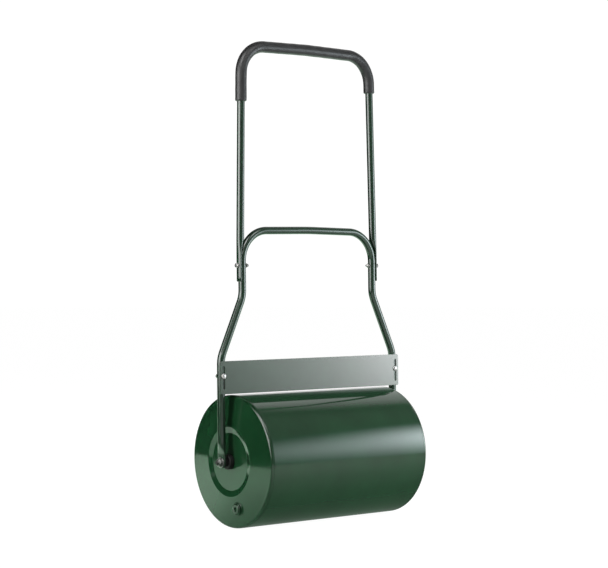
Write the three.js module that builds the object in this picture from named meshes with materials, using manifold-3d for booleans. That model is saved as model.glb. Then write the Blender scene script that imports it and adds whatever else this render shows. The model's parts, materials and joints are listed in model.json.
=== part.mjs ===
// Lawn roller: a hollow steel drum that is filled with water through a screwed plug, turning on a
// fixed axle. A fork of bent tube carries the axle and the scraper; the upper handle nests on it.
// Millimetres, +Z up. The origin is on the ground, under the middle of the drum.
// +X runs along the axle and +Y points behind the roller, the way the handle leans.

import * as THREE from 'three';
import { mergeVertices } from 'three/addons/utils/BufferGeometryUtils.js';
import Module from 'manifold-3d';

const wasm = await Module();
wasm.setup();

// ---------------------------------------------------------------- driving dimensions

const GAP = 0.3;                      // left between pieces that touch
const WELD_TOLERANCE = 1e-4;          // corners closer than this are one corner
const DRILL_MARGIN = 20;              // how far a hole's cutter runs past the piece

// How finely round shapes are faceted.
const DRUM_FACETS = 48;
const LARGE_SIDES = 24;
const WASHER_SIDES = 16;
const M6_SIDES = 12;
const TUBE_SIDES = 12;
const RIM_STEPS = 4;
const BEND_STEPS = 6;
const SLIGHT_BEND_STEPS = 3;
const CROWN_STEPS = 1;

const DRUM_RADIUS = 160;
const SHELL_HALF_LENGTH = 236;
const SHELL_WALL = 1.2;
const RIM_RADIUS = 8;                 // rounded edge of the end caps
const CAP_WALL = 1.5;
const CAP_DISH = 8;                   // how far the cap bulges from its rim to the step
const STEP_OUTER_RADIUS = 84;         // ring step pressed into the cap
const STEP_INNER_RADIUS = 70;
const STEP_DEPTH = 3.5;

const SLEEVE_OUTER_RADIUS = 17;       // tube through the drum that keeps the water off the axle
const SLEEVE_INNER_RADIUS = 15;
const AXLE_RADIUS = 6;
const AXLE_HALF_LENGTH = 289;
const BUSH_FLANGE_RADIUS = 18;
const BUSH_FLANGE_THICKNESS = 12;
const BUSH_SPIGOT_LENGTH = 30;
const BUSH_CHAMFER = 2;
const RUNNING_CLEARANCE = 0.4;        // between the axle and the bushes that turn on it

const LEAN_DEGREES = 1;               // the handle leans back this far
const TUBE_RADIUS = 9.5;              // one tube size for fork and handle
const TUBE_WALL = 1.4;

// Fork and handle heights are measured up from the axle, along the handle.
const LEG_X = 272.5;
const LEG_BEND_HEIGHT = 248.5;
const HOOP_X = 206.3;
const HOOP_BEND_HEIGHT = 396.5;
const HOOP_TOP = 555;
const HOOP_CROWN = 3.5;
const FORK_BEND_RADIUS = 75;
const CROWN_BEND_RADIUS = 900;
const PADDLE_HALF_WIDTH = 14;         // flattened lower end of each leg, around the axle
const PADDLE_HALF_THICKNESS = 2.8;
const PADDLE_TOP = 20;
const PADDLE_BLEND_TOP = 46;
const PRESSED_SQUARENESS = 0.62;      // 0 leaves a pressed end oval, 1 makes it a rectangle

const HANDLE_FOOT_X = 212.8;          // handle leg centre, extended to SADDLE_BOTTOM
const HANDLE_TOP_X = 202;
const HANDLE_TOP = 1003.5;
const HANDLE_CROWN = 3.5;
const HANDLE_BEND_RADIUS = 70;
const SADDLE_BOTTOM = 432;            // the handle ends are pressed into saddles round the hoop
const SADDLE_TOP = 495;
const SADDLE_BLEND_TOP = 540;
const SADDLE_INNER_RADIUS = 9.9;
const SADDLE_OUTER_RADIUS = 13.4;
const SADDLE_HALF_ANGLE = 50;
const SADDLE_EDGE_ANGLE = 7;          // wall left at each edge of the saddle, in degrees round it

const GRIP_RADIUS = 14;
const GRIP_LEFT_END = 868;
const GRIP_RIGHT_END = 912;

const M6_RADIUS = 3;
const M6_ACROSS_FLATS = 10;
const M6_HEAD_HEIGHT = 3.6;
const M6_NUT_HEIGHT = 5;
const M6_WASHER_RADIUS = 6.2;
const M6_WASHER_THICKNESS = 1.2;
const HANDLE_BOLT_HEIGHT = 471;
const BOLT_TAIL = 2.5;                // thread that stands out of each nut
const HEAD_OVERLAP = 0.5;             // how far a shank runs into its head

const SCRAPER_HALF_LENGTH = 283;
const SCRAPER_BOTTOM = 163;
const SCRAPER_TOP = 242;
const SCRAPER_THICKNESS = 2;
const SCRAPER_CORNER = 4;
const SLOT_HALF_WIDTH = 3.4;
const SLOT_BOTTOM = 174;
const SLOT_TOP = 230;
const SCRAPER_BOLT_HEIGHT = 206;
const DOME_RADIUS = 6.8;
const DOME_HEIGHT = 3.6;

const AXLE_SPACER_RADIUS = 11;
const AXLE_WASHER_RADIUS = 13;
const AXLE_WASHER_THICKNESS = 2;
const AXLE_NUT_ACROSS_FLATS = 18;
const AXLE_NUT_HEIGHT = 8;

const PLUG_RADIUS_FROM_AXLE = 115;
const PLUG_ANGLE_DEGREES = 16;        // from straight down, towards the front
const NECK_OUTER_RADIUS = 15;
const NECK_BORE_RADIUS = 11.5;
const NECK_SEAT_RADIUS = 12.9;
const NECK_INNER_END = 236;
const NECK_SEAT = 250;
const NECK_OUTER_END = 254.5;
const NECK_CHAMFER = 1;
const PLUG_SHANK_RADIUS = 11;
const PLUG_SHANK_END = 238;
const PLUG_HEAD_RADIUS = 12.4;
const PLUG_HEAD_HEIGHT = 4.8;
const PLUG_HEAD_CHAMFER = 1.5;
const PLUG_KEY_ACROSS_FLATS = 10;
const PLUG_KEY_DEPTH = 4;
const GASKET_THICKNESS = 1;

const COLOURS = {
  paint: 0x1f4a2c,
  paintDark: 0x1b4027,
  foam: 0x3a3a3c,
  zinc: 0xc9ccd0,
  blackPlastic: 0x141414,
  rubber: 0x1c1c1c,
};

// ---------------------------------------------------------------- solids and materials

const finish = (color, roughness, metalness) => () => (
  new THREE.MeshStandardMaterial({ color, roughness, metalness }));

const paint = finish(COLOURS.paint, 0.15, 0.1);
const scraperPaint = finish(COLOURS.paintDark, 0.25, 0.1);
const foam = finish(COLOURS.foam, 0.85, 0);
const zinc = finish(COLOURS.zinc, 0.3, 0.9);
const plastic = finish(COLOURS.blackPlastic, 0.5, 0);
const rubber = finish(COLOURS.rubber, 0.7, 0);

function signedVolume(position, index) {
  const corner = [new THREE.Vector3(), new THREE.Vector3(), new THREE.Vector3()];
  let total = 0;
  for (let i = 0; i < index.length; i += 3) {
    corner.forEach((v, k) => v.fromBufferAttribute(position, index[i + k]));
    total += corner[0].dot(corner[1].clone().cross(corner[2])) / 6;
  }
  return total;
}

// Keeps only positions, welds shared corners and turns the faces outwards.
function closedGeometry(geometry) {
  const bare = geometry.clone();
  bare.deleteAttribute('normal');
  bare.deleteAttribute('uv');
  const welded = mergeVertices(bare, WELD_TOLERANCE);
  const index = Array.from(welded.index.array);
  const kept = [];
  for (let i = 0; i < index.length; i += 3) {
    const [a, b, c] = index.slice(i, i + 3);
    if (a !== b && b !== c && c !== a) kept.push(a, b, c);
  }
  if (signedVolume(welded.attributes.position, kept) < 0) kept.reverse();
  welded.setIndex(kept);
  return welded;
}

function solidOf(geometry) {
  const closed = closedGeometry(geometry);
  return new wasm.Manifold(new wasm.Mesh({
    numProp: 3,
    vertProperties: new Float32Array(closed.attributes.position.array),
    triVerts: new Uint32Array(closed.index.array),
  }));
}

function geometryOf(solid) {
  const { vertProperties, triVerts } = solid.getMesh();
  const geometry = new THREE.BufferGeometry();
  geometry.setAttribute('position', new THREE.BufferAttribute(vertProperties, 3));
  geometry.setIndex(new THREE.BufferAttribute(triVerts, 1));
  return geometry;
}

const cut = (geometry, ...tools) =>
  geometryOf(tools.reduce((solid, tool) => solid.subtract(solidOf(tool)), solidOf(geometry)));

const join = (geometry, ...others) =>
  geometryOf(others.reduce((solid, other) => solid.add(solidOf(other)), solidOf(geometry)));

function makeMesh(name, geometry, material) {
  const mesh = new THREE.Mesh(closedGeometry(geometry), material);
  mesh.geometry.computeVertexNormals();
  mesh.name = name;
  return mesh;
}

// ---------------------------------------------------------------- shape helpers

const radians = THREE.MathUtils.degToRad;

// Turns a profile of [x, radius] points around the X axis. A facet, not a corner, is at the bottom.
function turned(profile, sides) {
  const points = profile.map(([x, radius]) => new THREE.Vector2(radius, x));
  const geometry = new THREE.LatheGeometry(points, sides, Math.PI / sides);
  return geometry.rotateZ(-Math.PI / 2);
}

const ring = (fromX, toX, innerRadius, outerRadius, sides) => turned([
  [fromX, innerRadius], [toX, innerRadius], [toX, outerRadius], [fromX, outerRadius], [fromX, innerRadius],
], sides);

const rod = (fromX, toX, radius, sides) =>
  turned([[fromX, 0], [fromX, radius], [toX, radius], [toX, 0]], sides);

// A hexagonal block along X, with a round hole through it when boreRadius is given.
function hexBlock(fromX, toX, acrossFlats, boreRadius) {
  const shape = new THREE.Shape();
  const corner = acrossFlats / Math.sqrt(3);
  for (let k = 0; k < 6; k++) {
    shape[k ? 'lineTo' : 'moveTo'](corner * Math.cos(k * Math.PI / 3), corner * Math.sin(k * Math.PI / 3));
  }
  if (boreRadius) shape.holes.push(new THREE.Path().absarc(0, 0, boreRadius, 0, 2 * Math.PI, true));
  const block = new THREE.ExtrudeGeometry(shape, {
    depth: toX - fromX, bevelEnabled: false, curveSegments: M6_SIDES / 2,
  });
  return block.rotateY(Math.PI / 2).translate(fromX, 0, 0);
}

// Joins closed rings of points into a solid. Each station has an outer and an inner ring.
function loft(stations) {
  const sides = stations[0].outer.length;
  const positions = [];
  for (const { outer, inner } of stations) {
    for (const point of [...outer, ...inner]) positions.push(point.x, point.y, point.z);
  }
  const index = [];
  const quad = (a, b, c, d) => index.push(a, b, c, a, c, d);
  const at = (station, wall, k) => station * 2 * sides + wall * sides + (k % sides);
  for (let k = 0; k < sides; k++) {
    for (let s = 0; s + 1 < stations.length; s++) {
      quad(at(s, 0, k), at(s, 0, k + 1), at(s + 1, 0, k + 1), at(s + 1, 0, k));
      quad(at(s, 1, k + 1), at(s, 1, k), at(s + 1, 1, k), at(s + 1, 1, k + 1));
    }
    const last = stations.length - 1;
    quad(at(0, 0, k + 1), at(0, 0, k), at(0, 1, k), at(0, 1, k + 1));
    quad(at(last, 0, k), at(last, 0, k + 1), at(last, 1, k + 1), at(last, 1, k));
  }
  const geometry = new THREE.BufferGeometry();
  geometry.setAttribute('position', new THREE.Float32BufferAttribute(positions, 3));
  geometry.setIndex(index);
  return geometry;
}

// Stations along a bent tube's centre line in the XZ plane. Each corner is [x, z, bendRadius, steps].
function bentPath(corners) {
  const points = corners.map(([x, z]) => new THREE.Vector2(x, z));
  const stations = [];
  const push = (point, tangent) => stations.push({ point, tangent });
  const direction = (i) => points[i + 1].clone().sub(points[i]).normalize();
  push(points[0], direction(0));
  for (let i = 1; i + 1 < corners.length; i++) {
    const [, , radius, steps] = corners[i];
    const before = direction(i - 1);
    const after = direction(i);
    const turn = Math.atan2(before.cross(after), before.dot(after));
    const start = points[i].clone().addScaledVector(before, -radius * Math.tan(Math.abs(turn) / 2));
    const side = new THREE.Vector2(-before.y, before.x).multiplyScalar(Math.sign(turn) * radius);
    const centre = start.clone().add(side);
    for (let k = 0; k <= steps; k++) {
      const angle = turn * k / steps;
      const tangent = before.clone().rotateAround(new THREE.Vector2(), angle);
      push(start.clone().rotateAround(centre, angle), tangent);
    }
  }
  push(points.at(-1), direction(corners.length - 2));
  return stations;
}

// Places section points [outwards, alongY] on a station of a bent path.
function placeSection({ point, tangent }, section) {
  return section.map(([out, y]) => (
    new THREE.Vector3(point.x - tangent.y * out, y, point.y + tangent.x * out)));
}

const sideAngles = Array.from({ length: TUBE_SIDES }, (_, k) => (k + 0.5) * 2 * Math.PI / TUBE_SIDES);

const roundSection = (radius) => sideAngles.map((a) => [radius * Math.cos(a), radius * Math.sin(a)]);

// Pressed section: flatness 0 is an oval, 1 is nearly a rectangle with round corners.
function pressedSection(halfThickness, halfWidth, flatness) {
  const power = 1 - PRESSED_SQUARENESS * flatness;
  const soften = (value) => Math.sign(value) * Math.abs(value) ** power;
  return sideAngles.map((a) => [halfThickness * soften(Math.cos(a)), halfWidth * soften(Math.sin(a))]);
}

// C-shaped double wall round the hoop tube; the first half of the points is the inner wall's side.
function saddleSection(innerRadius, outerRadius, halfAngleDegrees) {
  const half = TUBE_SIDES / 2;
  const limit = radians(halfAngleDegrees);
  return sideAngles.map((_, k) => {
    const outside = k < half / 2 || k >= half * 1.5;
    const along = outside ? ((k + half / 2) % TUBE_SIDES) / (half - 1) : 1 - (k - half / 2) / (half - 1);
    const angle = -limit + 2 * limit * along;
    const radius = outside ? outerRadius : innerRadius;
    return [radius * Math.cos(angle), radius * Math.sin(angle)];
  });
}

const hollowStation = (station) => ({
  outer: placeSection(station, roundSection(TUBE_RADIUS)),
  inner: placeSection(station, roundSection(TUBE_RADIUS - TUBE_WALL)),
});

const smooth = (value) => THREE.MathUtils.smoothstep(value, 0, 1);

// ---------------------------------------------------------------- drum

// The drum's radii are measured to the middle of its facets, so that it stands on a flat.
function drumTurned(profile) {
  const toCorner = 1 / Math.cos(Math.PI / DRUM_FACETS);
  return turned(profile, DRUM_FACETS).scale(1, toCorner, toCorner);
}

const capFaceX = (radius) => {
  const flatStart = DRUM_RADIUS - RIM_RADIUS;
  const share = (flatStart - radius) / (flatStart - STEP_OUTER_RADIUS);
  return SHELL_HALF_LENGTH + RIM_RADIUS + CAP_DISH * share;
};

function drumShell() {
  const end = SHELL_HALF_LENGTH - GAP / 2;
  const inner = DRUM_RADIUS - SHELL_WALL;
  return drumTurned([[-end, inner], [end, inner], [end, DRUM_RADIUS], [-end, DRUM_RADIUS], [-end, inner]]);
}

// The cap for the +X end: rounded rim, shallow cone, ring step and recessed hub disc.
function endCap() {
  const rim = (radius, steps) => Array.from({ length: steps + 1 }, (_, k) => {
    const angle = (Math.PI / 2) * (k / steps);
    const x = SHELL_HALF_LENGTH + GAP / 2 + radius * Math.sin(angle);
    return [x, DRUM_RADIUS - RIM_RADIUS + radius * Math.cos(angle)];
  });
  const stepTop = capFaceX(STEP_OUTER_RADIUS);
  const disc = stepTop - STEP_DEPTH;
  const hub = SLEEVE_OUTER_RADIUS + GAP;
  const outside = [
    ...rim(RIM_RADIUS, RIM_STEPS), [stepTop, STEP_OUTER_RADIUS], [disc, STEP_INNER_RADIUS], [disc, hub],
  ];
  const inside = [
    [disc - CAP_WALL, hub],
    [disc - CAP_WALL, STEP_INNER_RADIUS],
    [stepTop - CAP_WALL, STEP_OUTER_RADIUS],
    ...rim(RIM_RADIUS - CAP_WALL, RIM_STEPS / 2).reverse(),
  ];
  return drumTurned([...outside, ...inside, outside[0]]);
}

const discX = () => capFaceX(STEP_OUTER_RADIUS) - STEP_DEPTH;

function axleSleeve() {
  const end = discX() - CAP_WALL / 2;
  return ring(-end, end, SLEEVE_INNER_RADIUS, SLEEVE_OUTER_RADIUS, LARGE_SIDES);
}

// Flanged plastic bush for the +X end: its spigot sits in the sleeve and its flange on the cap.
function hubBush() {
  const flange = discX() + GAP;
  const face = flange + BUSH_FLANGE_THICKNESS;
  const bore = AXLE_RADIUS + RUNNING_CLEARANCE;
  const spigot = SLEEVE_INNER_RADIUS - GAP;
  const inner = flange - BUSH_SPIGOT_LENGTH;
  return turned([
    [inner, bore], [inner, spigot], [flange, spigot], [flange, BUSH_FLANGE_RADIUS],
    [face - BUSH_CHAMFER, BUSH_FLANGE_RADIUS], [face, BUSH_FLANGE_RADIUS - BUSH_CHAMFER],
    [face, bore], [inner, bore],
  ], LARGE_SIDES);
}

// ---------------------------------------------------------------- fill neck and plug (built on the X axis)

const neckHole = () => rod(
  NECK_INNER_END - DRILL_MARGIN, NECK_OUTER_END + DRILL_MARGIN, NECK_OUTER_RADIUS + GAP, LARGE_SIDES,
);

const fillNeck = () => turned([
  [NECK_INNER_END, NECK_BORE_RADIUS], [NECK_INNER_END, NECK_OUTER_RADIUS],
  [NECK_OUTER_END - NECK_CHAMFER, NECK_OUTER_RADIUS], [NECK_OUTER_END, NECK_OUTER_RADIUS - NECK_CHAMFER],
  [NECK_OUTER_END, NECK_SEAT_RADIUS], [NECK_SEAT, NECK_SEAT_RADIUS],
  [NECK_SEAT, NECK_BORE_RADIUS], [NECK_INNER_END, NECK_BORE_RADIUS],
], LARGE_SIDES);

function plugGasket() {
  const seat = NECK_SEAT + GAP;
  return ring(seat, seat + GASKET_THICKNESS, PLUG_SHANK_RADIUS + GAP, PLUG_HEAD_RADIUS, LARGE_SIDES);
}

function fillPlug() {
  const head = NECK_SEAT + GASKET_THICKNESS + 2 * GAP;
  const top = head + PLUG_HEAD_HEIGHT;
  const body = turned([
    [PLUG_SHANK_END, 0], [PLUG_SHANK_END, PLUG_SHANK_RADIUS], [head, PLUG_SHANK_RADIUS],
    [head, PLUG_HEAD_RADIUS], [top - PLUG_HEAD_CHAMFER, PLUG_HEAD_RADIUS],
    [top, PLUG_HEAD_RADIUS - PLUG_HEAD_CHAMFER], [top, 0],
  ], LARGE_SIDES);
  return cut(body, hexBlock(top - PLUG_KEY_DEPTH, top + DRILL_MARGIN, PLUG_KEY_ACROSS_FLATS));
}

// ---------------------------------------------------------------- fork

// Drilled through the hoop and the saddles in one go.
const handleBoltHole = () => rod(
  -HOOP_X - SADDLE_OUTER_RADIUS - DRILL_MARGIN, HOOP_X + SADDLE_OUTER_RADIUS + DRILL_MARGIN,
  M6_RADIUS + GAP, M6_SIDES,
).translate(0, 0, HANDLE_BOLT_HEIGHT);

const forkCorners = () => [
  [-LEG_X, PADDLE_BLEND_TOP],
  [-LEG_X, LEG_BEND_HEIGHT, FORK_BEND_RADIUS, SLIGHT_BEND_STEPS],
  [-HOOP_X, HOOP_BEND_HEIGHT, FORK_BEND_RADIUS, SLIGHT_BEND_STEPS],
  [-HOOP_X, HOOP_TOP, FORK_BEND_RADIUS, BEND_STEPS],
  [0, HOOP_TOP + HOOP_CROWN, CROWN_BEND_RADIUS, CROWN_STEPS],
  [HOOP_X, HOOP_TOP, FORK_BEND_RADIUS, BEND_STEPS],
  [HOOP_X, HOOP_BEND_HEIGHT, FORK_BEND_RADIUS, SLIGHT_BEND_STEPS],
  [LEG_X, LEG_BEND_HEIGHT, FORK_BEND_RADIUS, SLIGHT_BEND_STEPS],
  [LEG_X, PADDLE_BLEND_TOP],
];

// Stations of one flattened leg end, from its round tip up to the plain tube.
function paddleStations(x, upwards) {
  const tangent = new THREE.Vector2(0, upwards ? 1 : -1);
  const build = (height, halfWidth, flatness) => {
    const halfThickness = THREE.MathUtils.lerp(TUBE_RADIUS, PADDLE_HALF_THICKNESS, flatness);
    const station = { point: new THREE.Vector2(x, height), tangent };
    const wall = pressedSection(halfThickness, halfWidth, flatness);
    const hollow = pressedSection(halfThickness - TUBE_WALL, halfWidth - TUBE_WALL, flatness);
    return { outer: placeSection(station, wall), inner: placeSection(station, hollow) };
  };
  const tip = [0.96, 0.85, 0.6, 0].map((share) => build(
    -PADDLE_HALF_WIDTH * share, PADDLE_HALF_WIDTH * Math.sqrt(1 - share * share), 1,
  ));
  const blend = [0, 0.35, 0.7].map((share) => build(
    THREE.MathUtils.lerp(PADDLE_TOP, PADDLE_BLEND_TOP, share),
    THREE.MathUtils.lerp(PADDLE_HALF_WIDTH, TUBE_RADIUS, smooth(share)), 1 - smooth(share),
  ));
  return [...tip, ...blend];
}

function lowerFrame() {
  const left = paddleStations(-LEG_X, true);
  const right = paddleStations(LEG_X, false).reverse();
  const tube = loft([...left, ...bentPath(forkCorners()).map(hollowStation), ...right]);
  const axleHole = rod(-LEG_X - DRILL_MARGIN, LEG_X + DRILL_MARGIN, AXLE_RADIUS + GAP, LARGE_SIDES);
  const scraperHole = (x) => rod(-DRILL_MARGIN, DRILL_MARGIN, M6_RADIUS + GAP, M6_SIDES)
    .rotateZ(Math.PI / 2).translate(x, 0, SCRAPER_BOLT_HEIGHT);
  return cut(tube, axleHole, handleBoltHole(), scraperHole(-LEG_X), scraperHole(LEG_X));
}

// ---------------------------------------------------------------- upper handle and grip

const handleX = (height) => THREE.MathUtils.mapLinear(
  height, SADDLE_BOTTOM, HANDLE_TOP, HANDLE_FOOT_X, HANDLE_TOP_X,
);

const handleCorners = (leftEnd, rightEnd) => [
  [-handleX(leftEnd), leftEnd],
  [-HANDLE_TOP_X, HANDLE_TOP, HANDLE_BEND_RADIUS, BEND_STEPS],
  [0, HANDLE_TOP + HANDLE_CROWN, CROWN_BEND_RADIUS, CROWN_STEPS],
  [HANDLE_TOP_X, HANDLE_TOP, HANDLE_BEND_RADIUS, BEND_STEPS],
  [handleX(rightEnd), rightEnd],
];

// Stations of one pressed handle end, from its foot up to where the tube is round again.
function saddleStations(side) {
  const tangent = new THREE.Vector2(0, -side);
  const build = (height) => {
    const roundness = smooth((height - SADDLE_TOP) / (SADDLE_BLEND_TOP - SADDLE_TOP));
    const shift = handleX(height) - HOOP_X;
    const station = { point: new THREE.Vector2(side * HOOP_X, height), tangent };
    const blend = (pressed, round) => pressed.map(([out, y], k) => [
      THREE.MathUtils.lerp(out, round[k][0] + shift, roundness),
      THREE.MathUtils.lerp(y, round[k][1], roundness),
    ]);
    const wall = saddleSection(SADDLE_INNER_RADIUS, SADDLE_OUTER_RADIUS, SADDLE_HALF_ANGLE);
    const hollow = saddleSection(
      SADDLE_INNER_RADIUS + TUBE_WALL, SADDLE_OUTER_RADIUS - TUBE_WALL,
      SADDLE_HALF_ANGLE - SADDLE_EDGE_ANGLE,
    );
    return {
      outer: placeSection(station, blend(wall, roundSection(TUBE_RADIUS))),
      inner: placeSection(station, blend(hollow, roundSection(TUBE_RADIUS - TUBE_WALL))),
    };
  };
  const blendHeights = [0.2, 0.4, 0.6, 0.8].map((share) => (
    THREE.MathUtils.lerp(SADDLE_TOP, SADDLE_BLEND_TOP, share)));
  return [SADDLE_BOTTOM, SADDLE_TOP, ...blendHeights].map(build);
}

function upperHandle() {
  const bends = bentPath(handleCorners(SADDLE_BLEND_TOP, SADDLE_BLEND_TOP)).map(hollowStation);
  const tube = loft([...saddleStations(-1), ...bends, ...saddleStations(1).reverse()]);
  return cut(tube, handleBoltHole());
}

function handleGrip() {
  return loft(bentPath(handleCorners(GRIP_LEFT_END, GRIP_RIGHT_END)).map((station) => ({
    outer: placeSection(station, roundSection(GRIP_RADIUS)),
    inner: placeSection(station, roundSection(TUBE_RADIUS + GAP)),
  })));
}

// ---------------------------------------------------------------- fasteners (along +X, outwards)

const saddleFace = HOOP_X + SADDLE_OUTER_RADIUS;

function handleBolt() {
  const head = saddleFace + M6_WASHER_THICKNESS + 2 * GAP;
  const tail = HOOP_X - TUBE_RADIUS - M6_WASHER_THICKNESS - M6_NUT_HEIGHT - 3 * GAP - BOLT_TAIL;
  return join(
    rod(tail, head + HEAD_OVERLAP, M6_RADIUS, M6_SIDES),
    hexBlock(head, head + M6_HEAD_HEIGHT, M6_ACROSS_FLATS),
  );
}

const handleBoltWasher = () => ring(
  saddleFace + GAP, saddleFace + GAP + M6_WASHER_THICKNESS,
  M6_RADIUS + GAP, M6_WASHER_RADIUS, WASHER_SIDES,
);

function handleNut() {
  const face = HOOP_X - TUBE_RADIUS - GAP;
  return hexBlock(face - M6_NUT_HEIGHT, face, M6_ACROSS_FLATS, M6_RADIUS + GAP);
}

// The scraper's coach bolt, along X with its domed head at +X; turned to face the front later.
function scraperBolt() {
  const face = TUBE_RADIUS + SCRAPER_THICKNESS + 2 * GAP;
  const tail = -(TUBE_RADIUS + M6_WASHER_THICKNESS + M6_NUT_HEIGHT + 3 * GAP + BOLT_TAIL);
  const dome = [0, 1, 2, 3].map((k) => {
    const angle = (Math.PI / 2) * (k / 3);
    return [face + DOME_HEIGHT * Math.sin(angle), DOME_RADIUS * Math.cos(angle)];
  });
  dome[3][1] = 0;
  return turned([[tail, 0], [tail, M6_RADIUS], [face, M6_RADIUS], ...dome], WASHER_SIDES);
}

const scraperWasher = () => ring(
  -TUBE_RADIUS - GAP - M6_WASHER_THICKNESS, -TUBE_RADIUS - GAP,
  M6_RADIUS + GAP, M6_WASHER_RADIUS, WASHER_SIDES,
);

function scraperNut() {
  const face = -(TUBE_RADIUS + M6_WASHER_THICKNESS + 2 * GAP);
  return hexBlock(face - M6_NUT_HEIGHT, face, M6_ACROSS_FLATS, M6_RADIUS + GAP);
}

const paddleFace = LEG_X + PADDLE_HALF_THICKNESS;

const axleShaft = () => rod(-AXLE_HALF_LENGTH, AXLE_HALF_LENGTH, AXLE_RADIUS, LARGE_SIDES);

function axleSpacer() {
  const from = discX() + BUSH_FLANGE_THICKNESS + 3 * GAP;
  const to = LEG_X - PADDLE_HALF_THICKNESS - GAP;
  return ring(from, to, AXLE_RADIUS + GAP, AXLE_SPACER_RADIUS, LARGE_SIDES);
}

const axleWasher = () => ring(
  paddleFace + GAP, paddleFace + GAP + AXLE_WASHER_THICKNESS,
  AXLE_RADIUS + GAP, AXLE_WASHER_RADIUS, LARGE_SIDES,
);

function axleNut() {
  const face = paddleFace + AXLE_WASHER_THICKNESS + 2 * GAP;
  return hexBlock(face, face + AXLE_NUT_HEIGHT, AXLE_NUT_ACROSS_FLATS, AXLE_RADIUS + GAP);
}

// ---------------------------------------------------------------- scraper

function scraperPlate() {
  const shape = new THREE.Shape();
  const x = SCRAPER_HALF_LENGTH;
  const corner = SCRAPER_CORNER;
  const arcs = [
    [x - corner, SCRAPER_BOTTOM + corner, -90], [x - corner, SCRAPER_TOP - corner, 0],
    [corner - x, SCRAPER_TOP - corner, 90], [corner - x, SCRAPER_BOTTOM + corner, 180],
  ];
  for (const [cx, cz, start] of arcs) {
    shape.absarc(cx, cz, corner, radians(start), radians(start + 90), false);
  }
  for (const slotX of [-LEG_X, LEG_X]) {
    const slot = new THREE.Path();
    slot.absarc(slotX, SLOT_TOP - SLOT_HALF_WIDTH, SLOT_HALF_WIDTH, 0, Math.PI, false);
    slot.absarc(slotX, SLOT_BOTTOM + SLOT_HALF_WIDTH, SLOT_HALF_WIDTH, Math.PI, 2 * Math.PI, false);
    shape.holes.push(slot);
  }
  const plate = new THREE.ExtrudeGeometry(shape, {
    depth: SCRAPER_THICKNESS, bevelEnabled: false, curveSegments: 4,
  });
  return plate.rotateX(Math.PI / 2).translate(0, -TUBE_RADIUS - GAP, 0);
}

// ---------------------------------------------------------------- assembly

const roller = new THREE.Group();

const drum = new THREE.Group();
drum.position.z = DRUM_RADIUS;
roller.add(drum);

const handle = new THREE.Group();
handle.position.z = DRUM_RADIUS;
handle.rotation.x = -radians(LEAN_DEGREES);
roller.add(handle);

// Adds a left and a right copy of a piece that is drawn for the +X side.
function addPair(group, name, build, material, place = () => {}) {
  for (const [side, word] of [[-1, 'left'], [1, 'right']]) {
    const geometry = build(side);
    if (side < 0) geometry.rotateZ(Math.PI);
    const mesh = makeMesh(`${word}_${name}`, geometry, material());
    place(mesh, side);
    group.add(mesh);
  }
}

// Turns a piece drawn on the X axis into place on the left cap, at the plug's spot.
function onPlugAxis(geometry) {
  const angle = radians(PLUG_ANGLE_DEGREES);
  return geometry.rotateZ(Math.PI).translate(
    0, -PLUG_RADIUS_FROM_AXLE * Math.sin(angle), -PLUG_RADIUS_FROM_AXLE * Math.cos(angle),
  );
}

drum.add(makeMesh('drum_shell', drumShell(), paint()));
drum.add(makeMesh('left_end_cap', cut(endCap().rotateZ(Math.PI), onPlugAxis(neckHole())), paint()));
drum.add(makeMesh('right_end_cap', endCap(), paint()));
drum.add(makeMesh('axle_sleeve', axleSleeve(), paint()));
addPair(drum, 'hub_bush', hubBush, plastic);
drum.add(makeMesh('fill_neck', onPlugAxis(fillNeck()), paint()));
drum.add(makeMesh('plug_gasket', onPlugAxis(plugGasket()), rubber()));
drum.add(makeMesh('fill_plug', onPlugAxis(fillPlug()), plastic()));

handle.add(makeMesh('lower_frame', lowerFrame(), paint()));
handle.add(makeMesh('upper_handle', upperHandle(), paint()));
handle.add(makeMesh('handle_grip', handleGrip(), foam()));
handle.add(makeMesh('axle_shaft', axleShaft(), zinc()));
addPair(handle, 'axle_spacer', axleSpacer, plastic);
addPair(handle, 'axle_washer', axleWasher, zinc);
addPair(handle, 'axle_nut', axleNut, zinc);

const atHandleBolt = (mesh) => { mesh.position.z = HANDLE_BOLT_HEIGHT; };
addPair(handle, 'handle_bolt', handleBolt, zinc, atHandleBolt);
addPair(handle, 'handle_washer', handleBoltWasher, zinc, atHandleBolt);
addPair(handle, 'handle_nut', handleNut, zinc, atHandleBolt);

handle.add(makeMesh('scraper_plate', scraperPlate(), scraperPaint()));

// The scraper's fasteners are drawn along X and turned so that their heads face the front (-Y).
for (const [piece, build] of [
  ['scraper_bolt', scraperBolt], ['scraper_washer', scraperWasher], ['scraper_nut', scraperNut],
]) {
  for (const [side, word] of [[-1, 'left'], [1, 'right']]) {
    const geometry = build().rotateZ(-Math.PI / 2);
    const mesh = makeMesh(`${word}_${piece}`, geometry, zinc());
    mesh.position.set(side * LEG_X, 0, SCRAPER_BOLT_HEIGHT);
    handle.add(mesh);
  }
}

export default roller;
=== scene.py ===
"""Looks of the lawn roller: smooth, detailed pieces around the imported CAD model.

Lengths are millimetres until a piece is made, which turns them into metres. Pieces of the drum are
drawn round the X axis. Pieces of the fork, handle and scraper are drawn in the handle's own frame:
its origin is on the axle, Z runs up the leaning handle and Y points behind the roller.
"""

import json
from math import asin, atan2, ceil, copysign, cos, hypot, pi, radians, sin, sqrt, tan

import bmesh
import bpy
from mathutils import Matrix, Vector, geometry, noise


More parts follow.
